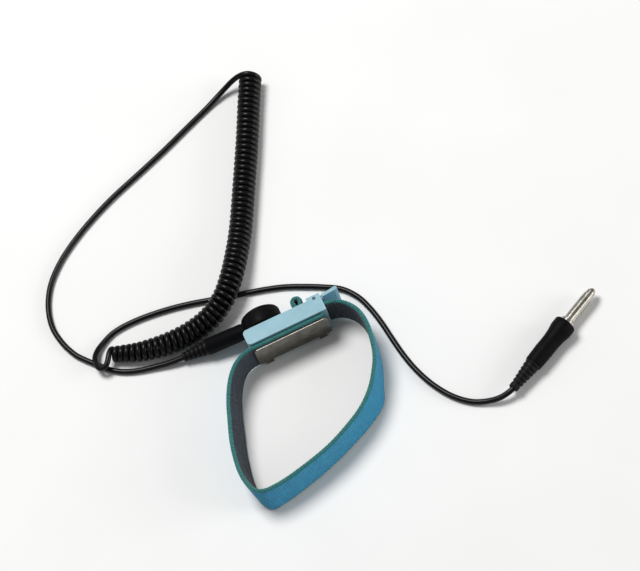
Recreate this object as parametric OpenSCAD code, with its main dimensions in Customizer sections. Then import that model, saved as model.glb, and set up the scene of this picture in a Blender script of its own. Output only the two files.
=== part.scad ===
// ESD wrist strap: an adjustable elastic wristband with a cam-lock buckle, and its coiled ground cord
// with a snap connector at one end and a 4 mm banana plug at the other.
//
// Millimetres, +Z up. The strap stands on its lower edge. +X runs along the buckle, +Y points out of
// the buckle's face along the snap's axis, away from the wrist. The origin is on the surface that the
// strap stands on, below the middle of the band, buckle and connector.

/* [Band] */
// Width of the elastic band
band_w = 14.4; // [12:0.1:14.4]
// Thickness of the elastic band
band_t = 1.8; // [1.4:0.1:1.8]

/* [Buckle] */
// Length of the buckle housing
buckle_l = 32; // [31:0.5:34]
// Height of the buckle housing, across the band
buckle_h = 16.4; // [16.4:0.1:18]
// Depth of the buckle housing, from the outer face to the band behind it
buckle_t = 6.3; // [6.3:0.1:7.5]
// Height of the steel contact plate's face
plate_h = 11.6; // [10:0.2:14.4]
// Thickness of the contact plate
plate_t = 0.5; // [0.3:0.1:0.8]

/* [Clasp] */
// Distance of the hinge pin from the middle of the buckle
pin_x = 13.5; // [13.3:0.1:13.6]
// Radius of the hinge pin
pin_r = 0.7; // [0.5:0.05:0.8]
// Length of the lever from the pin to its tip
lever_l = 9.6; // [8:0.2:11]

/* [Snap] */
// Distance of the snap from the middle of the buckle
snap_x = -7.5; // [-8:0.1:-7]
// Radius of the stud's ball
stud_r = 1.95; // [1.8:0.05:2]
// Radius of the stud's neck
neck_r = 1.5; // [1.3:0.05:1.6]

/* [Connector] */
// Radius of the round head
head_r = 7.75; // [7:0.25:8.5]
// Radius of the barrel that holds the resistor
barrel_r = 3.2; // [3:0.1:3.6]
// Distance from the snap's axis to the end of the barrel
barrel_end = 23; // [22:0.5:23]
// Distance from the snap's axis to the tip of the strain relief
boot_end = 33.3; // [31:0.1:34]
// Angle at which the connector hangs below the level
droop = 9; // [0:1:12]
// Angle at which the barrel leans out from the buckle
lean = 7; // [5:1:8]

/* [Cord] */
// Diameter of the cord
cord_d = 2.2; // [1.8:0.1:2.4]
// Outer diameter of the coil
coil_d = 9.2; // [8.6:0.1:9.4]

/* [Plug] */
// Radius of the banana pin over its contact spring
plug_r = 2; // [2:0.05:2.1]
// Length of the plug's handle and strain relief together
plug_l = 32; // [30:1:36]
// Direction in which the plug points
plug_turn = 27; // [20:1:35]

/* [Hidden] */

// The origin, as seen from the middle of the buckle's outer face at the floor
home = [-6, -25.4];
eps = 0.02;
fit = 0.06;

// Buckle
mid_z = buckle_h / 2;
wall = (buckle_h - band_w) / 2;
corner_r = 1.6;
channel_y = -4;
channel_t = 2;
window_x = 3.6;
pocket_x = 9.7;
pocket_wall = 2;
lug_x = 10.6;
lug_y = 1.2;
pin_y = -0.2;
pin_inset = 0.4;
core_wall = 1.6;
boss_r = 3.2;
back_y = -buckle_t;
band_y = back_y - band_t / 2;
skin_y = back_y - band_t;
plate_l = 30;
plate_r = 1.2;
tab_x = 11;
tab_w = 3;
tab_l = 1.5;
tab_t = 0.5;
tab_low = wall - tab_t - 0.05;

// Lever
lever_r = 1.5;
lobe_r = 0.9;
lobe_reach = 1.9;
lever_angle = 4;
lever_t = 1.3;
wide_from = 3.2;
wide_z = 0.9;

// Snap, measured along its axis from the buckle's outer face
flange_t = 0.5;
flange_r = 3.4;
neck_end = 2.2;
stud_end = 4;
shank_r = 1.2;
shank_end = 2.8;
rivet_r = 1.9;
socket_y = 1;
socket_r = 4.6;
socket_back = 4.5;
sheet_t = 0.4;
ring_r = 0.28;
ring_y = 1.75;
ring_gap = 40;

// Connector
face_y = 0.7;
lid_y = 6;
top_y = 7.8;
mouth_r = 3.9;
barrel_y = 3.9;
bore_r = 2.1;
cord_bore_r = cord_d / 2 + 0.05;
boot_from = 19.6;
boot_r = 2.9;
boot_tip_r = 1.8;
resistor_at = 8.6;
resistor_l = 6.3;
ferrule_at = 16.6;
ferrule_l = 4.4;
wire_r = 0.3;
core_r = 0.45;
stub = 6;

// Plug, measured along its axis from the front face of the handle
plug_at = [93, -48, 4.2];
handle_r = 4.2;
boot_l = 12;
tail_r = 2.3;
tail_l = 9;
collar_r = 2.6;
collar_l = 1.6;
pin_core_r = 1.36;
pin_l = 17;
ring_l = 1.6;
spring_from = collar_l + 0.1;
spring_l = 12.2;
slots = 5;
slot_w = 0.4;
slot_inset = 0.3;
slot_turn = 54;

// The band's centre line, seen from above: from its free end, which is folded out through the
// buckle's window, round the wrist and back to its fixed end behind the buckle
band_route = [
    [5.6, -3.3], [5.65, -1], [5.7, 1.2], [5.2, 2.9], [5.5, 4.1], [6.65, 4.6], [7.8, 4.1], [8.1, 2.9],
    [7.6, 1.2], [7.75, -0.8], [8.8, -2.4], [11.2, -3.05], [13.6, -3.05], [16, -3.05], [19.8, -3.9],
    [23.2, -6.4], [25.8, -10.2], [27, -15], [26.8, -21], [25.4, -28], [22.8, -35], [18.4, -42],
    [10.4, -49], [0, -54.3], [-10, -57.6], [-20, -59.8], [-28.4, -60.7], [-33.9, -59.8],
    [-37.1, -56], [-38.1, -50], [-37.6, -44], [-36.2, -37], [-34, -30], [-31.4, -22.6], [-28, -15.8],
    [-24, -10.8], [-20, -8.2], [-16, band_y], [-11, band_y], [14, band_y]
];

// The cord's route from the coil's far end to the connector
wrist_route = [
    [29.6, 108, 8.1], [26.4, 109.4, 7.2], [22.8, 110, 5.4], [18.4, 109.4, 3.3], [13.4, 107.9, 1.9],
    [8, 105.8, 1.2], [-2, 101.7, 1.1], [-14, 96.7, 1.1], [-27, 91.8, 1.1], [-40, 87, 1.1],
    [-51, 81.9, 1.1], [-60.6, 76.4, 1.1], [-69, 70.2, 1.1], [-75.7, 62.9, 1.1], [-79.9, 54.4, 1.1],
    [-81.5, 45.4, 1.1], [-80.2, 37, 1.1], [-77.6, 30.4, 1.1], [-75, 26.6, 1.1], [-72.4, 23.4, 1.1],
    [-69.6, 20, 1.1], [-66, 16.4, 1.1], [-61.5, 13.6, 1.1], [-56.5, 11.7, 1.2], [-51, 10.2, 1.6],
    [-45.5, 8.8, 2.2]
];

// The coil's axis, and how wide the coil is there as a share of coil_d
coil_route = [
    [29.6, 108, 4.6, 1], [24.9, 98.2, 4.6, 1], [17.4, 82, 4.6, 1], [8.6, 64, 4.6, 1], [0.7, 48, 4.8, 1],
    [-4.8, 38, 5.8, 1], [-10.4, 29, 7.1, 1], [-16.8, 21.6, 7.1, 1], [-24.8, 17, 5.8, 1],
    [-34, 15.2, 4.8, 1], [-44, 15.4, 4.5, 0.96], [-54, 17.6, 4, 0.85], [-61, 20.6, 3.4, 0.74],
    [-66.2, 23.2, 3, 0.65]
];

// The cord's route from the coil's near end to the plug. It passes over the first route, then under the coil
plug_route = [
    [-66.2, 23.2, 4.9], [-67, 20, 5], [-67.6, 18.5, 4.8], [-69.1, 17.9, 4.5], [-70.6, 18.5, 4.2],
    [-71.2, 20, 3.9], [-71.2, 22, 3.6], [-70.6, 24.6, 2.9], [-68.8, 27.2, 1.9], [-65.6, 29.5, 1.3],
    [-61.5, 31.4, 1.1], [-56.5, 32.2, 1.1], [-50, 32.2, 1.1], [-43, 31.5, 1.1], [-36, 30.3, 1.1],
    [-29, 28.6, 1.1], [-22, 26.5, 1.1], [-15, 24.4, 1.1], [-8, 22.4, 1.1], [-1, 20.3, 1.1],
    [6, 17.7, 1.1], [13, 14.1, 1.1], [19.5, 10.3, 1.1], [25.2, 6.2, 1.1], [29.2, 0.3, 1.1],
    [31.3, -6.1, 1.1], [32.6, -13, 1.1], [33.5, -21.1, 1.1], [34.5, -29.2, 1.1], [36.3, -37.5, 1.1],
    [39.3, -45.7, 1.1], [43.6, -53.1, 1.1], [48.8, -58.5, 1.2], [54, -61.4, 1.7], [59.2, -63, 3]
];

// ---- Placing and sweeping ----

module at_home() translate([-home[0], -home[1], 0]) children();

// Everything about the snap is drawn with its axis along +Z and placed here
module on_snap() at_home() translate([snap_x, 0, mid_z]) rotate([-90, 0, 0]) children();

// The connector's own frame: the snap's axis is +Y and the barrel runs towards -X
module on_connector() at_home() translate([snap_x, 0, mid_z]) rotate([0, -droop, 0]) children();

// Pieces in the barrel are drawn along +Z, from the snap's axis to the cord
module on_barrel() on_connector() translate([0, barrel_y, 0]) rotate([0, -90, -lean]) children();

// The plug's pieces are drawn along +Z, from the handle's front face to the pin's tip
module on_plug() at_home() translate(plug_at) rotate([0, 90, plug_turn]) children();

function unit(v) = v / norm(v);

// Where a point at distance d along the barrel's axis lies
function barrel_point(d) = [
    snap_x - d * cos(lean) * cos(droop),
    barrel_y + d * sin(lean),
    mid_z - d * cos(lean) * sin(droop)
];

// Where a point at distance d behind the plug's front face lies
function plug_point(d) = plug_at - d * [cos(plug_turn), sin(plug_turn), 0];

// A smooth curve through the points p, with n steps between two points
function knot(p, i) =
    i < 0 ? 2 * p[0] - p[1] :
    i >= len(p) ? 2 * p[len(p) - 1] - p[len(p) - 2] : p[i];
function between(a, b, c, d, t) =
    0.5 * (2 * b + (c - a) * t + (2 * a - 5 * b + 4 * c - d) * t * t + (3 * b - a - 3 * c + d) * t * t * t);
function smooth(p, n) = concat(
    [for (i = [0 : len(p) - 2], k = [0 : n - 1]) between(knot(p, i - 1), p[i], p[i + 1], knot(p, i + 2), k / n)],
    [p[len(p) - 1]]
);

// The direction of the path p at its point i
function heading(p, i) = unit(p[min(i + 1, len(p) - 1)] - p[max(i - 1, 0)]);
function side(h) = unit(cross([0, 0, 1], h));

// A tube along the path p. Its radius r is one number, or a list with one for each point
module tube(p, r, sides) {
    n = len(p);
    rings = [
        for (i = [0 : n - 1])
            let (h = heading(p, i), a = side(h), b = cross(h, a), q = is_list(r) ? r[i] : r)
            for (k = [0 : sides - 1]) p[i] + q * (cos(360 * k / sides) * a + sin(360 * k / sides) * b)
    ];
    walls = [
        for (i = [0 : n - 2], k = [0 : sides - 1])
            let (a = i * sides + k, b = i * sides + (k + 1) % sides)
            each [[a, b, b + sides], [a, b + sides, a + sides]]
    ];
    first = [for (k = [sides - 1 : -1 : 0]) k];
    last = [for (k = [0 : sides - 1]) (n - 1) * sides + k];
    polyhedron(rings, [for (f = concat([first], walls, [last])) [for (k = [len(f) - 1 : -1 : 0]) f[k]]]);
}

// A strip of thickness t along the flat path p
module strip(p, t) {
    offsets = [for (i = [0 : len(p) - 1]) let (h = heading(p, i)) [-h[1], h[0]] * t / 2];
    polygon(concat(
        [for (i = [0 : len(p) - 1]) p[i] + offsets[i]],
        [for (i = [len(p) - 1 : -1 : 0]) p[i] - offsets[i]]
    ));
}

// A bar from low to high whose upright edges at the end x = low are rounded
module rounded_bar(low, high, r) {
    size = high - low;
    translate([low[0] + r, low[1], low[2]]) cube([size[0] - r, size[1], size[2]]);
    translate([low[0], low[1] + r, low[2]]) cube([2 * r, size[1] - 2 * r, size[2]]);
    for (y = [low[1] + r, high[1] - r])
        translate([low[0] + r, y, low[2]]) cylinder(r = r, h = size[2], $fn = 48);
}

module box(low, high) translate(low) cube(high - low);

// A round bar along Y
module cross_pin(x, z, y0, y1, r) translate([x, y0, z]) rotate([-90, 0, 0]) cylinder(r = r, h = y1 - y0, $fn = 64);

// ---- Wristband ----

module elastic_band() color("steelblue") at_home() difference() {
    translate([0, 0, wall]) linear_extrude(band_w) strip(smooth(band_route, 4), band_t);
    cross_pin(snap_x, mid_z, skin_y - 1, back_y + 1, shank_r + fit);
}

module buckle_housing() color("lightskyblue") at_home() difference() {
    union() {
        rounded_bar([-buckle_l / 2, back_y, 0], [buckle_l / 2, 0, buckle_h], corner_r);
        box([lug_x, -1, 0], [buckle_l / 2, lug_y, buckle_h]);
    }
    // Channel for the band, open at the end and under the lever
    box([window_x, channel_y, wall - eps], [buckle_l, channel_y + channel_t + 1, buckle_h - wall + eps]);
    // Window that the band's free end is folded out through
    box([window_x, channel_y, wall - eps], [pocket_x, 1, buckle_h - wall + eps]);
    // Pocket that the lever turns in
    box([pocket_x - eps, channel_y + channel_t, pocket_wall], [buckle_l, lug_y + 1, buckle_h - pocket_wall]);
    translate([pin_x, pin_y, -1]) cylinder(r = pin_r, h = buckle_h + 2, $fn = 64);
    // Hollow back of the housing, with a boss round the rivet
    difference() {
        box([-buckle_l / 2 + core_wall, back_y - 1, core_wall], [window_x - core_wall, -1.8, buckle_h - core_wall]);
        cross_pin(snap_x, mid_z, back_y - 2, 0, boss_r);
    }
    cross_pin(snap_x, mid_z, back_y - 1, 1, shank_r + fit);
    // Slots for the contact plate's hooks
    for (x = [-tab_x, tab_x])
        box([x - tab_w / 2, back_y - 1, tab_low], [x + tab_w / 2, back_y + tab_l, tab_low + tab_t]);
}

// The rivet, whose countersunk head is flush with the contact plate
module rivet_outline() translate([snap_x, skin_y - plate_t, mid_z]) rotate([-90, 0, 0]) rotate_extrude($fn = 64)
    polygon([
        [0, 0], [rivet_r, 0], [shank_r, plate_t],
        [shank_r, shank_end - skin_y + plate_t], [0, shank_end - skin_y + plate_t]
    ]);

// Its two ears are bent under the band's lower edge and hook into the housing
module contact_plate() color("silver") at_home() difference() {
    union() {
        translate([0, skin_y, mid_z]) rotate([90, 0, 0]) linear_extrude(plate_t) {
            square([plate_l, plate_h - 2 * plate_r], center = true);
            square([plate_l - 2 * plate_r, plate_h], center = true);
            for (x = [-1, 1], y = [-1, 1])
                translate([x * (plate_l / 2 - plate_r), y * (plate_h / 2 - plate_r)]) circle(r = plate_r, $fn = 48);
        }
        for (x = [-tab_x, tab_x]) {
            box([x - tab_w / 2, skin_y - plate_t, tab_low], [x + tab_w / 2, skin_y, mid_z]);
            box([x - tab_w / 2, skin_y - eps, tab_low], [x + tab_w / 2, back_y + tab_l, tab_low + tab_t]);
        }
    }
    rivet_outline();
}

module snap_stud() color("gainsboro") on_snap() rotate_extrude($fn = 64) polygon([
    [shank_r, 0], [flange_r, 0], [flange_r, 0.3], [flange_r - 0.2, flange_t], [neck_r, flange_t],
    [neck_r, neck_end - 0.3], [stud_r, neck_end + 0.2], [stud_r, stud_end - 0.8],
    [stud_r - 0.25, stud_end - 0.3], [stud_r - 0.8, stud_end], [0, stud_end], [0, shank_end], [shank_r, shank_end]
]);

module stud_rivet() color("gainsboro") at_home() rivet_outline();

module hinge_pin() color("dimgray") at_home() translate([pin_x, pin_y, pin_inset])
    cylinder(r = pin_r, h = buckle_h - 2 * pin_inset, $fn = 64);

// The lever's outline, seen from above, closed, with the pin at its origin
module lever_tab(from, to) rotate(lever_angle) translate([0, -0.55]) polygon([
    [from, 0], [to - 1.2, 0], [to - 0.3, 0.3], [to, 0.9], [to - 0.5, lever_t + 0.25],
    [to - 1.6, lever_t + 0.15], [(from + to) / 2, lever_t], [from, lever_t]
]);

module clasp_lever() color("lightskyblue") at_home() translate([pin_x, pin_y, 0]) difference() {
    union() {
        translate([0, 0, pocket_wall + 0.15]) linear_extrude(buckle_h - 2 * pocket_wall - 0.3) {
            circle(r = lever_r, $fn = 64);
            translate([0.2, lobe_r - lobe_reach]) circle(r = lobe_r, $fn = 48);
            lever_tab(0.3, wide_from + 1);
        }
        translate([0, 0, wide_z]) linear_extrude(buckle_h - 2 * wide_z) lever_tab(wide_from, lever_l);
    }
    translate([0, 0, -1]) cylinder(r = pin_r + fit, h = buckle_h + 2, $fn = 64);
}

// ---- Snap connector ----

// Split wire ring that grips the neck of the stud
module snap_spring() color("goldenrod") on_snap() translate([0, 0, ring_y])
    rotate(ring_gap / 2) rotate_extrude(angle = 360 - ring_gap, $fn = 64)
        translate([neck_r + fit + ring_r, 0]) circle(r = ring_r, $fn = 16);

module snap_socket() color("gainsboro") on_snap() {
    rotate_extrude($fn = 64) polygon([
        [stud_r + 0.15, socket_y], [socket_r, socket_y], [socket_r, socket_back], [0, socket_back],
        [0, socket_back - sheet_t], [socket_r - sheet_t, socket_back - sheet_t],
        [socket_r - sheet_t, socket_y + sheet_t], [stud_r + 0.15, socket_y + sheet_t]
    ]);
}

module connector_body() color("#1c1c1e") difference() {
    union() {
        on_connector() translate([0, face_y, 0]) rotate([-90, 0, 0]) rotate_extrude($fn = 96) polygon([
            [0, 0], [head_r - 0.6, 0], [head_r, 0.6], [head_r, lid_y - face_y], [0, lid_y - face_y]
        ]);
        on_barrel() translate([0, 0, 5]) cylinder(r = barrel_r, h = barrel_end - 5, $fn = 64);
    }
    on_connector() rotate([-90, 0, 0]) {
        translate([0, 0, socket_y]) cylinder(r = socket_r, h = top_y, $fn = 64);
        cylinder(r = mouth_r, h = socket_y + 1, $fn = 64);
        translate([0, 0, lid_y]) cylinder(r = head_r + fit, h = top_y, $fn = 96);
    }
    on_barrel() translate([0, 0, 3]) cylinder(r = bore_r, h = barrel_end, $fn = 64);
}

module connector_cap() color("#1c1c1e") on_connector() rotate([-90, 0, 0]) {
    translate([0, 0, lid_y]) rotate_extrude($fn = 96) polygon([
        [0, 0], [head_r, 0], [head_r, 0.7], [head_r - 0.25, 1.2], [head_r - 0.8, 1.55],
        [head_r - 2, top_y - lid_y - 0.08], [0, top_y - lid_y]
    ]);
    translate([0, 0, socket_back]) cylinder(r = 2.4, h = lid_y - socket_back + eps, $fn = 48);
}

module resistor_body() color("tan") on_barrel() translate([0, 0, resistor_at + 0.6])
    cylinder(r = 1.05, h = resistor_l - 1.2, $fn = 48);

module resistor_caps() color("gainsboro") on_barrel() for (z = [resistor_at, resistor_at + resistor_l - 1.2])
    translate([0, 0, z]) difference() {
        cylinder(r = 1.2, h = 1.2, $fn = 48);
        translate([0, 0, z == resistor_at ? 0.6 : -1]) cylinder(r = 1.05, h = z == resistor_at ? 1 : 1.6, $fn = 48);
    }

module resistor_leads() color("silver") on_barrel() {
    translate([0, 0, 5]) cylinder(r = wire_r, h = resistor_at - 5, $fn = 24);
    translate([0, 0, resistor_at + resistor_l]) cylinder(r = wire_r, h = 3, $fn = 24);
}

module crimp_ferrule() color("silver") on_barrel() translate([0, 0, ferrule_at]) difference() {
    cylinder(r = 1, h = ferrule_l, $fn = 48);
    translate([0, 0, -1]) cylinder(r = core_r, h = ferrule_l + 2, $fn = 48);
}

module wrist_conductor() color("peru") on_barrel() translate([0, 0, ferrule_at + ferrule_l / 2])
    cylinder(r = core_r, h = boot_end - stub - ferrule_at - ferrule_l / 2, $fn = 32);

// Ribbed, tapered outline of a strain relief from z = a to z = b, with n grooves
function rib_outline(a, b, r0, r1, n, deep) = [
    for (i = [0 : n - 1])
        let (s = (b - a) / n, z = a + i * s, r = r0 + (r1 - r0) * i / n, q = r0 + (r1 - r0) * (i + 1) / n)
        each [[r, z], [r, z + 0.55 * s], [r - deep, z + 0.62 * s], [q - deep, z + 0.93 * s]]
];

module connector_boot() color("#1c1c1e") on_barrel() difference() {
    rotate_extrude($fn = 64) polygon(concat(
        [[0, boot_from], [bore_r, boot_from], [bore_r, barrel_end]],
        rib_outline(barrel_end, boot_end - 1.2, boot_r, boot_tip_r, 5, 0.5),
        [[boot_tip_r, boot_end - 1.2], [boot_tip_r, boot_end - 0.3], [boot_tip_r - 0.3, boot_end], [0, boot_end]]
    ));
    translate([0, 0, boot_from - 1]) cylinder(r = cord_bore_r, h = boot_end, $fn = 48);
}

// ---- Cord ----

module lead_wrist() color("#161618") at_home() tube(
    smooth(concat(wrist_route, [barrel_point(boot_end), barrel_point(boot_end - stub)]), 1), cord_d / 2, 8
);

module coil() color("#161618") at_home() tube(
    [for (c = coil_route) [c[0], c[1], c[2]]], [for (c = coil_route) c[3] * coil_d / 2], 12
);

module lead_plug() color("#161618") at_home() tube(
    smooth(concat(plug_route, [plug_point(plug_l), plug_point(plug_l - stub)]), 1), cord_d / 2, 8
);

// ---- Banana plug ----

module plug_boot() color("#1c1c1e") on_plug() translate([0, 0, -plug_l]) difference() {
    rotate_extrude($fn = 64) polygon(concat(
        [[0, 0], [1.6, 0], [1.9, 0.3], [1.9, 1]],
        rib_outline(1, boot_l - 0.5, 1.9, 3, 6, 0.35),
        [[3, boot_l - 0.5], [3, boot_l], [0, boot_l]]
    ));
    translate([0, 0, -1]) cylinder(r = cord_bore_r, h = boot_l + 2, $fn = 48);
}

module plug_handle() color("#1c1c1e") on_plug() difference() {
    rotate_extrude($fn = 64) polygon([
        [0, boot_l - plug_l], [3.1, boot_l - plug_l], [3.3, boot_l - plug_l + 0.4], [3.5, -14], [3.45, -9],
        [3.7, -6], [handle_r - 0.1, -4], [handle_r, -3.4], [handle_r, -0.5], [handle_r - 0.4, 0], [0, 0]
    ]);
    translate([0, 0, -14]) cylinder(r = tail_r, h = 15, $fn = 64);
    translate([0, 0, boot_l - plug_l - 1]) cylinder(r = cord_bore_r, h = plug_l, $fn = 48);
}

module plug_pin() color("gold") on_plug() difference() {
    rotate_extrude($fn = 64) polygon([
        [0, -tail_l], [tail_r, -tail_l], [tail_r, 0], [collar_r, 0], [collar_r, collar_l - 0.3],
        [collar_r - 0.3, collar_l], [pin_core_r, collar_l],
        [pin_core_r, spring_from + spring_l + 0.1], [plug_r - 0.3, spring_from + spring_l + 0.1],
        [plug_r - 0.3, pin_l - 1.6], [1.1, pin_l - 0.5], [0.5, pin_l], [0, pin_l]
    ]);
    translate([0, 0, -tail_l - 0.5]) cylinder(r = core_r + 0.25, h = 4.5, $fn = 32);
}

module plug_crimp() color("silver") on_plug() translate([0, 0, -13.9]) difference() {
    cylinder(r = 1.6, h = 4.9, $fn = 48);
    translate([0, 0, -1]) cylinder(r = core_r, h = 7, $fn = 32);
}

module plug_conductor() color("peru") on_plug() translate([0, 0, stub - plug_l])
    cylinder(r = core_r, h = plug_l - stub - 6, $fn = 32);

// Lantern spring: two rings joined by leaves that bear on the mating socket
module contact_spring() color("gold") on_plug() translate([0, 0, spring_from]) difference() {
    cylinder(r = plug_r, h = spring_l, $fn = 64);
    translate([0, 0, -1]) cylinder(r = pin_core_r + fit, h = spring_l + 2, $fn = 64);
    translate([0, 0, ring_l]) cylinder(r = plug_r - 0.28, h = spring_l - 2 * ring_l, $fn = 64);
    for (k = [0 : slots - 1]) rotate(slot_turn + 360 * k / slots)
        translate([pin_core_r, -slot_w / 2, ring_l + slot_inset])
            cube([plug_r, slot_w, spring_l - 2 * (ring_l + slot_inset)]);
}

elastic_band();
buckle_housing();
contact_plate();
snap_stud();
stud_rivet();
hinge_pin();
clasp_lever();
snap_spring();
snap_socket();
connector_body();
connector_cap();
resistor_body();
resistor_caps();
resistor_leads();
crimp_ferrule();
wrist_conductor();
connector_boot();
lead_wrist();
coil();
lead_plug();
plug_boot();
plug_handle();
plug_pin();
plug_crimp();
plug_conductor();
contact_spring();
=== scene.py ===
"""The look of the ESD wrist strap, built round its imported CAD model. Metres, +Z up, in the row frame."""

import math

import bpy
import numpy as np
from mathutils import Matrix, Vector


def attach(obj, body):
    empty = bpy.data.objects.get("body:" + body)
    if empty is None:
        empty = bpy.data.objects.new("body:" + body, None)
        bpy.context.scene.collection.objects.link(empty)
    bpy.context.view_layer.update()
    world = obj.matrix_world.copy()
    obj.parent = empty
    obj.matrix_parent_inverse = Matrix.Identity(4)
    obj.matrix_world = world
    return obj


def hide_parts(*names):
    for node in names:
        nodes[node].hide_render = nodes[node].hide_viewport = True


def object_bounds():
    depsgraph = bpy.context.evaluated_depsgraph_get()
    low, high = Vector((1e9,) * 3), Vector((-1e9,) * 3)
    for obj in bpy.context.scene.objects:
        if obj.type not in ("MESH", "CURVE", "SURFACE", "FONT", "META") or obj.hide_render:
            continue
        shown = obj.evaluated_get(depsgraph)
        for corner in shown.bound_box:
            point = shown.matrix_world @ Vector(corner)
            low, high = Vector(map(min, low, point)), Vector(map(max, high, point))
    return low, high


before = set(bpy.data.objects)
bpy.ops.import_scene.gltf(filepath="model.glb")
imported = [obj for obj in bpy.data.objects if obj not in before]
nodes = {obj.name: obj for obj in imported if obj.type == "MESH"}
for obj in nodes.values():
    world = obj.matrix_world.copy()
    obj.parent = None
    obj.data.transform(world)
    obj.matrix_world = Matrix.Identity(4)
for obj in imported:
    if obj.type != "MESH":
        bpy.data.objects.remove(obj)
cad_low, cad_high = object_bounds()

MM = 0.001
HOME = np.array([6.0, 25.4, 0.0])  # the middle of the buckle's outer face at the floor, in the row frame


# ---- Curves ----


def to_row(points):
    """Millimetres from the middle of the buckle's outer face, as metres in the row frame."""
    return (np.array(points, float) + HOME) * MM


def smooth(points, steps):
    """A Catmull-Rom curve through the points, with that many steps between two of them."""
    p = np.array(points, float)
    p = np.vstack([2 * p[0] - p[1], p, 2 * p[-1] - p[-2]])
    t = np.arange(steps)[:, None] / steps
    spans = [
        0.5 * (2 * b + (c - a) * t + (2 * a - 5 * b + 4 * c - d) * t**2 + (3 * b - a - 3 * c + d) * t**3)
        for a, b, c, d in zip(p, p[1:], p[2:], p[3:])
    ]
    return np.vstack(spans + [p[-2:-1]])


def lengths(path):
    """The distance along the path to each of its points."""
    return np.concatenate([[0.0], np.cumsum(np.linalg.norm(np.diff(path, axis=0), axis=1))])


def even(path, count):
    """The path again, with that many evenly spaced points."""
    along = lengths(path)
    wanted = np.linspace(0, along[-1], count)
    return np.stack([np.interp(wanted, along, path[:, k]) for k in range(path.shape[1])], axis=1)


def directions(path):
    """The unit tangent at each point."""
    d = np.gradient(path, axis=0)
    return d / np.linalg.norm(d, axis=1)[:, None]


def bridge(first, second, steps):
    """The points that lead smoothly from the end of the path first to the start of the path second."""
    start, end = first[-1], second[0]
    reach = np.linalg.norm(end - start)
    leave = (first[-1] - first[-2]) / np.linalg.norm(first[-1] - first[-2]) * reach
    arrive = (second[1] - second[0]) / np.linalg.norm(second[1] - second[0]) * reach
    t = (np.arange(1, steps) / steps)[:, None]
    return (
        (2 * t**3 - 3 * t**2 + 1) * start
        + (t**3 - 2 * t**2 + t) * leave
        + (3 * t**2 - 2 * t**3) * end
        + (t**3 - t**2) * arrive
    )


# ---- Camera ----

# Where the photograph was taken from and which way its camera looked
EYE = Vector((-0.0002, -0.3847, 0.7850))
PHOTO_FORWARD = Vector((0.228, 0.587, -0.777)).normalized()
PHOTO_RIGHT = Vector((0.888, -0.4525, -0.0815))
AIM = Vector((0.0242, 0.0378, 0.0))
LENS_MM = 132


def make_camera():
    """The photograph's viewpoint, turned to the strap and zoomed in until it fills the frame."""
    forward = (AIM - EYE).normalized()
    turn = PHOTO_FORWARD.rotation_difference(forward)
    right = turn @ (PHOTO_RIGHT - PHOTO_RIGHT.dot(PHOTO_FORWARD) * PHOTO_FORWARD).normalized()
    up = right.cross(forward)
    data = bpy.data.cameras.new("camera")
    data.lens = LENS_MM
    data.clip_start = 0.01
    camera = bpy.data.objects.new("camera", data)
    bpy.context.scene.collection.objects.link(camera)
    camera.matrix_world = Matrix([[right[k], up[k], -forward[k], EYE[k]] for k in range(3)] + [[0, 0, 0, 1]])
    bpy.context.scene.camera = camera


make_camera()


# ---- Cord ----

CORD_D = 2.2
COIL_D = 9.2
COIL_TURNS = 64.75
TURN_STEPS = 20  # points in a turn
BRIDGE_STEPS = 10  # between a lead and the coil
BOOT_END = 33.3  # from the snap's axis to the tip of the connector's strain relief
PLUG_L = 32.0  # from the front of the handle to the tip of the plug's strain relief
STUB = 6.0  # of the cord inside each strain relief

# The cord's route from the coil's far end to the connector
WRIST_ROUTE = [
    (29.6, 108, 8.1), (26.4, 109.4, 7.2), (22.8, 110, 5.4), (18.4, 109.4, 3.3), (13.4, 107.9, 1.9),
    (8, 105.8, 1.2), (-2, 101.7, 1.1), (-14, 96.7, 1.1), (-27, 91.8, 1.1), (-40, 87, 1.1),
    (-51, 81.9, 1.1), (-60.6, 76.4, 1.1), (-69, 70.2, 1.1), (-75.7, 62.9, 1.1), (-79.9, 54.4, 1.1),
    (-81.5, 45.4, 1.1), (-80.2, 37, 1.1), (-77.6, 30.4, 1.1), (-75, 26.6, 1.1), (-72.4, 23.4, 1.1),
    (-69.6, 20, 1.1), (-66, 16.4, 1.1), (-61.5, 13.6, 1.1), (-56.5, 11.7, 1.2), (-51, 10.2, 1.6),
    (-45.5, 8.8, 2.2),
]

# The coil's axis, and how wide the coil is there as a share of COIL_D
COIL_ROUTE = [
    (29.6, 108, 4.6, 1), (24.9, 98.2, 4.6, 1), (17.4, 82, 4.6, 1), (8.6, 64, 4.6, 1), (0.7, 48, 4.8, 1),
    (-4.8, 38, 5.8, 1), (-10.4, 29, 7.1, 1), (-16.8, 21.6, 7.1, 1), (-24.8, 17, 5.8, 1),
    (-34, 15.2, 4.8, 1), (-44, 15.4, 4.5, 0.96), (-54, 17.6, 4, 0.85), (-61, 20.6, 3.4, 0.74),
    (-66.2, 23.2, 3, 0.65),
]

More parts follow.
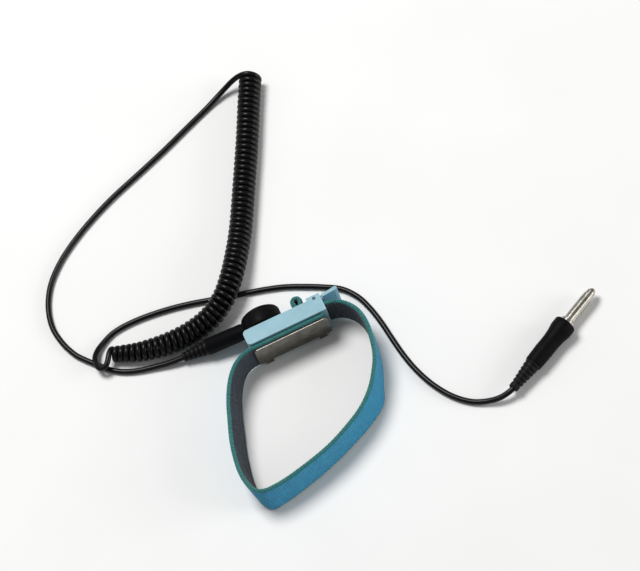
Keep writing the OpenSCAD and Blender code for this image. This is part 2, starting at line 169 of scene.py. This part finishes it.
# The cord's route from the coil's near end to the plug. It passes over the first route, then under the coil
PLUG_ROUTE = [
    (-66.2, 23.2, 4.9), (-67, 20, 5), (-67.6, 18.5, 4.8), (-69.1, 17.9, 4.5), (-70.6, 18.5, 4.2),
    (-71.2, 20, 3.9), (-71.2, 22, 3.6), (-70.6, 24.6, 2.9), (-68.8, 27.2, 1.9), (-65.6, 29.5, 1.3),
    (-61.5, 31.4, 1.1), (-56.5, 32.2, 1.1), (-50, 32.2, 1.1), (-43, 31.5, 1.1), (-36, 30.3, 1.1),
    (-29, 28.6, 1.1), (-22, 26.5, 1.1), (-15, 24.4, 1.1), (-8, 22.4, 1.1), (-1, 20.3, 1.1),
    (6, 17.7, 1.1), (13, 14.1, 1.1), (19.5, 10.3, 1.1), (25.2, 6.2, 1.1), (29.2, 0.3, 1.1),
    (31.3, -6.1, 1.1), (32.6, -13, 1.1), (33.5, -21.1, 1.1), (34.5, -29.2, 1.1), (36.3, -37.5, 1.1),
    (39.3, -45.7, 1.1), (43.6, -53.1, 1.1), (48.8, -58.5, 1.2), (54, -61.4, 1.7), (59.2, -63, 3),
]

SNAP = np.array([-7.5, 3.9, 8.2])  # where the barrel's axis meets the snap's
LEAN = math.radians(7)
DROOP = math.radians(9)
BARREL = np.array([-math.cos(LEAN) * math.cos(DROOP), math.sin(LEAN), -math.cos(LEAN) * math.sin(DROOP)])
PLUG_FRONT = np.array([93, -48, 4.2])
PLUG_TURN = math.radians(27)
PLUG_AXIS = np.array([math.cos(PLUG_TURN), math.sin(PLUG_TURN), 0])


def coil_turns(axis, turns, per_turn):
    """A left-handed helix round the axis, which starts at the top and narrows as the axis says."""
    path = even(axis, round(turns * per_turn) + 1)
    radius = (COIL_D * path[:, 3:] - CORD_D) / 2
    path = path[:, :3]
    along = directions(path)
    side = np.cross([0, 0, 1], along)
    side /= np.linalg.norm(side, axis=1)[:, None]
    up = np.cross(along, side)
    angle = (2 * math.pi * np.arange(len(path)) / per_turn)[:, None]
    return path + radius * (np.cos(angle) * up + np.sin(angle) * side)


def cord_path():
    """The whole cord from inside the connector's strain relief to inside the plug's. The ends of the three
    stretches that meet at the coil's ends are left out, and bridges that turn smoothly stand for them."""
    wrist = smooth([*WRIST_ROUTE, SNAP + BOOT_END * BARREL, SNAP + (BOOT_END - STUB) * BARREL], 6)[::-1]
    plug = smooth([*PLUG_ROUTE, PLUG_FRONT - PLUG_L * PLUG_AXIS, PLUG_FRONT - (PLUG_L - STUB) * PLUG_AXIS], 6)
    coil = coil_turns(smooth(COIL_ROUTE, 12), COIL_TURNS, TURN_STEPS)
    wrist, coil, plug = wrist[:-12], coil[1:-15], plug[12:]
    onto, off = bridge(wrist, coil, BRIDGE_STEPS), bridge(coil, plug, BRIDGE_STEPS)
    return np.vstack([wrist, onto, coil, off, plug])


def make_curve(name, path, diameter):
    """A round cord along the path, as a curve of one open spline. The thickness is in its points' radius and
    not in bevel_depth, because Blender adds the radius to a curve's bounding box."""
    data = bpy.data.curves.new(name, "CURVE")
    data.dimensions = "3D"
    data.bevel_depth = 1
    data.bevel_resolution = 4
    data.use_fill_caps = True
    spline = data.splines.new("POLY")
    spline.points.add(len(path) - 1)
    spline.points.foreach_set("co", np.column_stack([path, np.ones(len(path))]).ravel())
    spline.points.foreach_set("radius", np.full(len(path), diameter / 2))
    spline.use_smooth = True
    curve = bpy.data.objects.new(name, data)
    bpy.context.scene.collection.objects.link(curve)
    return curve


cord = make_curve("ground_cord", to_row(cord_path()), CORD_D * MM)
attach(cord, "cord_set")
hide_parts("lead_wrist", "coil", "lead_plug")


# ---- Elastic band ----

BAND_W = 14.4
BAND_T = 1.8
BAND_EDGE = 0.75  # how far its rounded edges reach across it
BAND_LOW = 1.0  # how far the band's lower edge is above the floor at the buckle
BAND_Y = -7.2
RIBS = 13
RIB_DEPTH = 0.16
LOOP_LENGTH = 1.5  # of the yarn loops along each edge
LOOP_HEIGHT = 0.13
SINK = 0.9  # how far the band sinks towards the floor away from the buckle
SINK_FROM, SINK_TO = 9, 34  # how far behind the buckle's outer face that starts and ends
FOLD_LENGTH = 30  # of the folded free end, which doesn't sink
STITCH_LENGTH = 0.85
STEP = 0.4  # between two rings of the band's mesh

# The band's centre line, seen from above, from its folded free end round the wrist to its fixed end.
# The last two numbers are how far its lower edge stands off from below its upper edge, because it leans
BAND_ROUTE = [
    (5.9, -3.3, 0, 0), (5.95, -1.2, 0, 0), (6, 0.8, 0, 0), (5.6, 2.4, 0, 0), (5.9, 3.6, 0, 0),
    (7.05, 4.1, 0, 0), (8.2, 3.6, 0, 0), (8.45, 2.4, 0, 0), (7.95, 0.8, 0, 0), (8.05, -1, 0, 0),
    (9, -2.5, 0, 0), (11.2, -3.05, 0, 0), (13.6, -3.05, 0, 0), (16, -3.05, 0, 0), (19.8, -3.9, 0, 0),
    (23.2, -6.4, 0, 0), (25.8, -10.2, 0, 0), (27, -15, 0, 0), (26.8, -21, 0, 0),
    (24.9, -29.7, 0.2, -0.1), (21.6, -36.2, 1, -0.6), (16.9, -42.7, 2.5, -1.3),
    (10.7, -48.2, 1.1, -1.1), (2.8, -52.6, 0.4, -0.7), (-4.5, -55.8, 0.2, -0.5),
    (-12.6, -58.2, 0.2, -0.8), (-22.7, -60.4, 0.3, -1.1), (-29.8, -61.1, 0.9, -1.6),
    (-33.5, -60.6, 1.6, -2.4), (-36, -58.8, 1.9, -2.7), (-37.5, -55.2, 1.6, -1.7),
    (-38.1, -50, 2.1, -0.8), (-37.6, -44, 2.5, -0.5), (-36.2, -37, 2.6, -0.6), (-34, -30, 2.4, -0.7),
    (-31.4, -22.6, 2, -0.8), (-28, -15.8, 1.3, -0.8), (-24, -10.8, 0.5, -0.4), (-20, -8.2, 0, 0),
    (-16, BAND_Y, 0, 0), (-11, BAND_Y, 0, 0), (14, BAND_Y, 0, 0),
]


def ease(x, low, high):
    """0 below low, 1 above high and a smooth step between."""
    t = np.clip((x - low) / (high - low), 0, 1)
    return t * t * (3 - 2 * t)


def band_section():
    """The band's outline across its width: (out, up, part) with part 0 on the outer face, 1 on an edge and
    2 on the inner face. Both faces are ribbed, and the edges are rounded."""
    half, edge = BAND_T / 2, BAND_EDGE
    up = np.linspace(edge, BAND_W - edge, RIBS * 5 + 1)
    rib = RIB_DEPTH * np.abs(np.sin(math.pi * RIBS * (up - edge) / (BAND_W - 2 * edge))) ** 0.7
    face = half - RIB_DEPTH + rib
    turn = np.radians(np.linspace(-90, 90, 13)[1:-1])
    corner = half - RIB_DEPTH
    outline = [(out, u, 0) for out, u in zip(face, up)]
    outline += [(-corner * math.sin(a), BAND_W - edge + edge * math.cos(a), 1) for a in turn]
    outline += [(-out, u, 2) for out, u in zip(face[::-1], up[::-1])]
    outline += [(corner * math.sin(a), edge - edge * math.cos(a), 1) for a in turn]
    return np.array(outline)


def make_band():
    """The knitted band, which leans and sinks to the floor away from the buckle."""
    rough = smooth(BAND_ROUTE, 16)
    path = even(rough, round(lengths(rough)[-1] / STEP) + 1)
    lean = path[:, 2:]
    path = path[:, :2]
    along = lengths(path)
    forward = directions(path + lean / 2)
    out = np.stack([-forward[:, 1], forward[:, 0]], axis=1)  # away from the wrist
    section = band_section()
    loop = np.sin(2 * math.pi * along / LOOP_LENGTH)
    away = ease(-path[:, 1], SINK_FROM, SINK_TO) * (along > FOLD_LENGTH)
    verts = []
    for p, o, wave, far, off in zip(path, out, loop, away, lean):
        height = section[:, 1] / BAND_W
        picot = LOOP_HEIGHT * wave * (section[:, 2] == 1)
        u = section[:, 1] + picot * np.sign(height - 0.5)
        x = p[0] + o[0] * section[:, 0] + off[0] * (1 - height)
        y = p[1] + o[1] * section[:, 0] + off[1] * (1 - height)
        z = u + BAND_LOW - far * SINK
        verts.append(np.column_stack([x, y, z]))
    rings, sides = len(path), len(section)
    a = (np.arange(rings - 1)[:, None] * sides + np.arange(sides)).ravel()
    b = (np.arange(rings - 1)[:, None] * sides + (np.arange(sides) + 1) % sides).ravel()
    faces = np.column_stack([a, a + sides, b + sides, b]).tolist()
    faces += [list(range(sides)), list(range(rings * sides - 1, (rings - 1) * sides - 1, -1))]
    mesh = bpy.data.meshes.new("knitted_band")
    mesh.from_pydata(to_row(np.vstack(verts)).tolist(), [], faces)
    part = section[:, 2]
    own = np.where(part == np.roll(part, -1), part, 1).astype(int)
    mesh.polygons.foreach_set("material_index", np.concatenate([np.tile(own, rings - 1), [1, 1]]))
    mesh.polygons.foreach_set("use_smooth", np.ones(len(faces), bool))
    # Along the band and across it, in millimetres, for the knit's pattern
    layer = mesh.uv_layers.new(name="knit")
    vertex = np.zeros(len(mesh.loops), int)
    mesh.loops.foreach_get("vertex_index", vertex)
    across = np.tile(section[:, 1], rings)
    layer.data.foreach_set("uv", np.column_stack([np.repeat(along, sides)[vertex], across[vertex]]).ravel())
    mesh.validate()
    band = bpy.data.objects.new("knitted_band", mesh)
    bpy.context.scene.collection.objects.link(band)
    return band


band = make_band()
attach(band, "wristband")
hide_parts("elastic_band")


# ---- Materials ----


class Look:
    """A node material. Its shader's own sockets are set by name, and node() adds and wires a node."""

    def __init__(self, name, **sockets):
        self.material = bpy.data.materials.new(name)
        self.material.use_nodes = True
        self.tree = self.material.node_tree
        self.shader = self.tree.nodes["Principled BSDF"]
        for socket, value in sockets.items():
            self.shader.inputs[socket.replace("_", " ")].default_value = value

    def wire(self, value, socket):
        """Links a node's output to the socket, or sets the socket to a value."""
        if isinstance(value, bpy.types.NodeSocket):
            self.tree.links.new(value, socket)
        else:
            socket.default_value = value

    def node(self, kind, output=0, inputs=(), **settings):
        """Adds a shader node and returns its output."""
        made = self.tree.nodes.new("ShaderNode" + kind)
        for key, value in settings.items():
            setattr(made, key, value)
        for key, value in dict(inputs).items():
            self.wire(value, made.inputs[key])
        return made.outputs[output]

    def math(self, operation, *values):
        return self.node("Math", inputs=dict(enumerate(values)), operation=operation)

    def place(self, scale=(1, 1, 1)):
        """Object coordinates in millimetres, stretched by scale."""
        where = self.node("TexCoord", "Object")
        size = tuple(s / MM for s in scale)
        return self.node("Mapping", inputs={"Vector": where, "Scale": size})

    def noise(self, scale, detail=3, where=None, roughness=0.5):
        """Noise from 0 to 1, scale cells to a millimetre."""
        where = where or self.place()
        inputs = {"Vector": where, "Scale": scale, "Detail": detail, "Roughness": roughness}
        return self.node("TexNoise", inputs=inputs)

    def between(self, value, low, high):
        """value, which runs from 0 to 1, brought to low to high."""
        return self.node("MapRange", inputs={"Value": value, "To Min": low, "To Max": high})

    def colours(self, value, *stops):
        """A colour ramp: stops are (position, (r, g, b))."""
        ramp = self.tree.nodes.new("ShaderNodeValToRGB")
        points = ramp.color_ramp.elements
        while len(points) < len(stops):
            points.new(0.5)
        for point, (position, colour) in zip(points, stops):
            point.position = position
            point.color = (*colour, 1)
        self.wire(value, ramp.inputs[0])
        return ramp.outputs[0]

    def mix(self, factor, a, b):
        """The colour a where the factor is 0 and b where it is 1."""
        made = self.tree.nodes.new("ShaderNodeMix")
        made.data_type = "RGBA"
        for value, index in ((factor, 0), (a, 6), (b, 7)):
            value = (*value, 1) if isinstance(value, tuple) else value
            self.wire(value, made.inputs[index])
        return made.outputs[2]

    def bump(self, height, distance, strength):
        """The surface's direction with a relief on it, distance millimetres high where height is 1."""
        inputs = {"Height": height, "Distance": distance * MM, "Strength": strength}
        return self.node("Bump", inputs=inputs)

    def edges(self, radius):
        """1 on sharp edges and 0 on flat stretches."""
        rounded = self.node("Bevel", inputs={"Radius": radius * MM}, samples=4)
        flat = self.node("NewGeometry", "Normal")
        bent = self.node("VectorMath", "Value", {0: rounded, 1: flat}, operation="DOT_PRODUCT")
        worn = self.math("SUBTRACT", 1, bent)
        return self.math("MULTIPLY", worn, 3)

    def finish(self, **sockets):
        """Wires the shader's sockets and returns the material."""
        for socket, value in sockets.items():
            self.wire(value, self.shader.inputs[socket.replace("_", " ")])
        return self.material


def srgb(r, g, b):
    """A colour given as 0 to 255, in Blender's linear values."""
    shares = (r / 255, g / 255, b / 255)
    return tuple(c / 12.92 if c <= 0.04045 else ((c + 0.055) / 1.055) ** 2.4 for c in shares)


def knit(name, light, dark, fleck, sheen):
    """Knitted elastic: V-shaped stitches along each rib, over fine fuzz. The yarn's colour is painted darker
    where the stitches' relief is low, as painted shade between the stitches.
    """
    look = Look(name, Roughness=0.85, Sheen_Weight=sheen, Sheen_Roughness=0.4, Specular_IOR_Level=0.25)
    uv = look.node("UVMap", uv_map="knit")
    parts = look.tree.nodes.new("ShaderNodeSeparateXYZ")
    look.wire(uv, parts.inputs[0])
    along, across = parts.outputs[0], parts.outputs[1]
    rib = look.math("MULTIPLY", across, RIBS / (BAND_W - 2 * BAND_EDGE))
    slant = look.math("ABSOLUTE", look.math("SUBTRACT", look.math("FRACT", rib), 0.5))
    phase = look.math("ADD", look.math("DIVIDE", along, STITCH_LENGTH), look.math("MULTIPLY", slant, 1.1))
    stitch = look.math("SINE", look.math("MULTIPLY", phase, 2 * math.pi))
    stitch = look.math("MULTIPLY_ADD", stitch, 0.5, 0.5)
    fuzz = look.noise(9, 4)
    patch = look.noise(0.35, 3)
    # Painted shade: the yarn goes darker where the stitch relief is low, over random tone in patches
    shade = look.math("MULTIPLY_ADD", stitch, 0.55, look.math("MULTIPLY", patch, 0.5))
    yarn_and_shade = look.colours(shade, (0.1, dark), (0.9, light))
    flecks = look.colours(look.noise(3.2, 2), (0.62, (0, 0, 0)), (0.74, (1, 1, 1)))
    colour = look.mix(flecks, yarn_and_shade, fleck)
    height = look.math("MULTIPLY_ADD", stitch, 0.8, look.math("MULTIPLY", fuzz, 0.35))
    return look.finish(
        Base_Color=colour,
        Roughness=look.between(fuzz, 0.7, 0.98),
        Normal=look.bump(height, 0.16, 0.9),
    )


def moulded(name, colour, fade, rough, grain, depth, **sockets):
    """Moulded plastic with a fine grain, faded a little in patches and along its edges."""
    look = Look(name, **sockets)
    patch = look.noise(0.12, 4)
    edge = look.edges(0.35)
    base = look.colours(patch, (0.25, colour), (0.8, tuple(0.86 * c for c in colour)))
    speckle = look.noise(grain, 3)
    smudge = look.noise(0.4, 5, roughness=0.65)
    return look.finish(
        Base_Color=look.mix(look.math("MULTIPLY", edge, 0.5), base, fade),
        Roughness=look.between(smudge, rough - 0.1, rough + 0.12),
        Normal=look.bump(look.mix(0.3, speckle, smudge), depth, 0.6),
    )


def metal(name, colour, dull, rough, brush=(1, 1, 1), grain=6.0, depth=0.02, anisotropic=0.0):
    """Metal with fine marks that run the way the brush is stretched."""
    look = Look(name, Metallic=1.0, Anisotropic=anisotropic)
    marks = look.noise(grain, 5, look.place(brush), 0.7)
    stain = look.noise(0.3, 4)
    return look.finish(
        Base_Color=look.colours(look.mix(0.5, marks, stain), (0.3, dull), (0.65, colour)),
        Roughness=look.between(look.mix(0.4, marks, stain), rough - 0.1, rough + 0.15),
        Normal=look.bump(marks, depth, 0.5),
    )


BLUE = srgb(122, 172, 187)
OUTER = knit("band_outer_knit", srgb(54, 162, 204), srgb(27, 108, 146), srgb(112, 188, 208), 0.25)
EDGE = knit("band_edge_yarn", srgb(63, 133, 129), srgb(26, 84, 87), srgb(96, 160, 155), 0.3)
INNER = knit("band_inner_knit", srgb(72, 82, 92), srgb(22, 28, 38), srgb(150, 158, 165), 0.15)

looks = {
    "blue_plastic": moulded("blue_plastic_moulded", BLUE, srgb(214, 232, 240), 0.42, 5, 0.03),
    "plate_steel": metal(
        "brushed_steel", srgb(136, 134, 126), srgb(74, 72, 66), 0.3, (0.05, 1, 1), 9, 0.02, 0.4
    ),
    "nickel": metal("nickel_plate", srgb(205, 200, 190), srgb(160, 154, 144), 0.22),
    "pin_steel": metal("dark_pin_steel", srgb(70, 74, 84), srgb(28, 30, 38), 0.35),
    "spring_brass": metal("spring_brass", srgb(200, 165, 90), srgb(140, 105, 50), 0.3),
    "black_plastic": moulded(
        "black_plastic_moulded", srgb(14, 14, 16), srgb(34, 34, 37), 0.48, 7, 0.03, Specular_IOR_Level=0.05
    ),
    "resistor_coat": moulded("resistor_coating", srgb(120, 150, 190), srgb(160, 180, 205), 0.35, 4, 0.02),
    "tinned_metal": metal("tinned_metal", srgb(200, 200, 200), srgb(150, 150, 150), 0.3),
    "tinsel_wire": metal("tinsel_conductor", srgb(205, 130, 85), srgb(150, 85, 50), 0.35, (1, 1, 0.2)),
    "black_flex": moulded(
        "black_flexible_plastic", srgb(13, 13, 14), srgb(30, 30, 32), 0.5, 9, 0.03, Specular_IOR_Level=0.15
    ),
    "cord_jacket": moulded(
        "black_cord_jacket", srgb(8, 8, 9), srgb(18, 18, 19), 0.29, 6, 0.02, Specular_IOR_Level=0.22
    ),
    "plug_metal": metal("plug_nickel", srgb(210, 206, 196), srgb(165, 160, 148), 0.2),
}

for material in (OUTER, EDGE, INNER):
    band.data.materials.append(material)
cord.data.materials.append(looks["cord_jacket"])
for piece in nodes.values():
    for place in piece.material_slots:
        if place.material.name in looks:
            place.material = looks[place.material.name]
# The rivet's head is as dull as the plate that it holds
for place in nodes["stud_rivet"].material_slots:
    place.material = looks["plate_steel"]


# ---- Soft edges on the CAD pieces ----


def soften(name, width, segments=3):
    """Welds the piece's split corners, joins its flat faces and rounds its sharp edges."""
    piece = nodes[name]
    weld = piece.modifiers.new("weld", "WELD")
    weld.merge_threshold = 0.002 * MM
    flat = piece.modifiers.new("flat", "DECIMATE")
    flat.decimate_type = "DISSOLVE"
    flat.angle_limit = math.radians(0.5)
    bevel = piece.modifiers.new("bevel", "BEVEL")
    bevel.width = width * MM
    bevel.segments = segments
    bevel.limit_method = "ANGLE"
    bevel.angle_limit = math.radians(35)
    bevel.use_clamp_overlap = True
    bevel.harden_normals = True


soften("buckle_housing", 0.3)
soften("clasp_lever", 0.22)
soften("contact_plate", 0.1, 2)
for moulding in ("connector_body", "connector_cap", "plug_handle"):
    soften(moulding, 0.15, 2)


# ---- Floor and light ----


def area_light(name, place, target, size, power):
    """A round light that faces the target."""
    data = bpy.data.lights.new(name, "AREA")
    data.shape = "DISK"
    data.size = size
    data.energy = power
    light = bpy.data.objects.new(name, data)
    bpy.context.scene.collection.objects.link(light)
    light.location = place
    light.rotation_mode = "QUATERNION"
    light.rotation_quaternion = (Vector(target) - Vector(place)).to_track_quat("-Z", "Y")


def make_floor():
    """A plain pale floor, just under the strap."""
    size, low = 4.0, -0.00003
    mesh = bpy.data.meshes.new("floor")
    corners = [(-size, -size, low), (size, -size, low), (size, size, low), (-size, size, low)]
    mesh.from_pydata(corners, [], [(0, 1, 2, 3)])
    floor = bpy.data.objects.new("floor", mesh)
    bpy.context.scene.collection.objects.link(floor)
    look = Look("pale_floor", Roughness=0.6, Specular_IOR_Level=0.2)
    tone = look.colours(look.noise(0.02, 2), (0.3, srgb(240, 240, 239)), (0.7, srgb(243, 243, 242)))
    mesh.materials.append(look.finish(Base_Color=tone))


make_floor()
centre = tuple((cad_low + cad_high) / 2)
area_light("key", place=(-0.19, 0.55, 1.26), target=centre, size=0.6, power=15.5)
area_light("fill", place=(1.1, -0.5, 0.36), target=centre, size=0.7, power=6.6)
world = bpy.data.worlds.new("studio")
bpy.context.scene.world = world
world.use_nodes = True
world.node_tree.nodes["Background"].inputs["Color"].default_value = (1, 1, 1, 1)
world.node_tree.nodes["Background"].inputs["Strength"].default_value = 0.25
bpy.context.scene.view_settings.view_transform = "Standard"
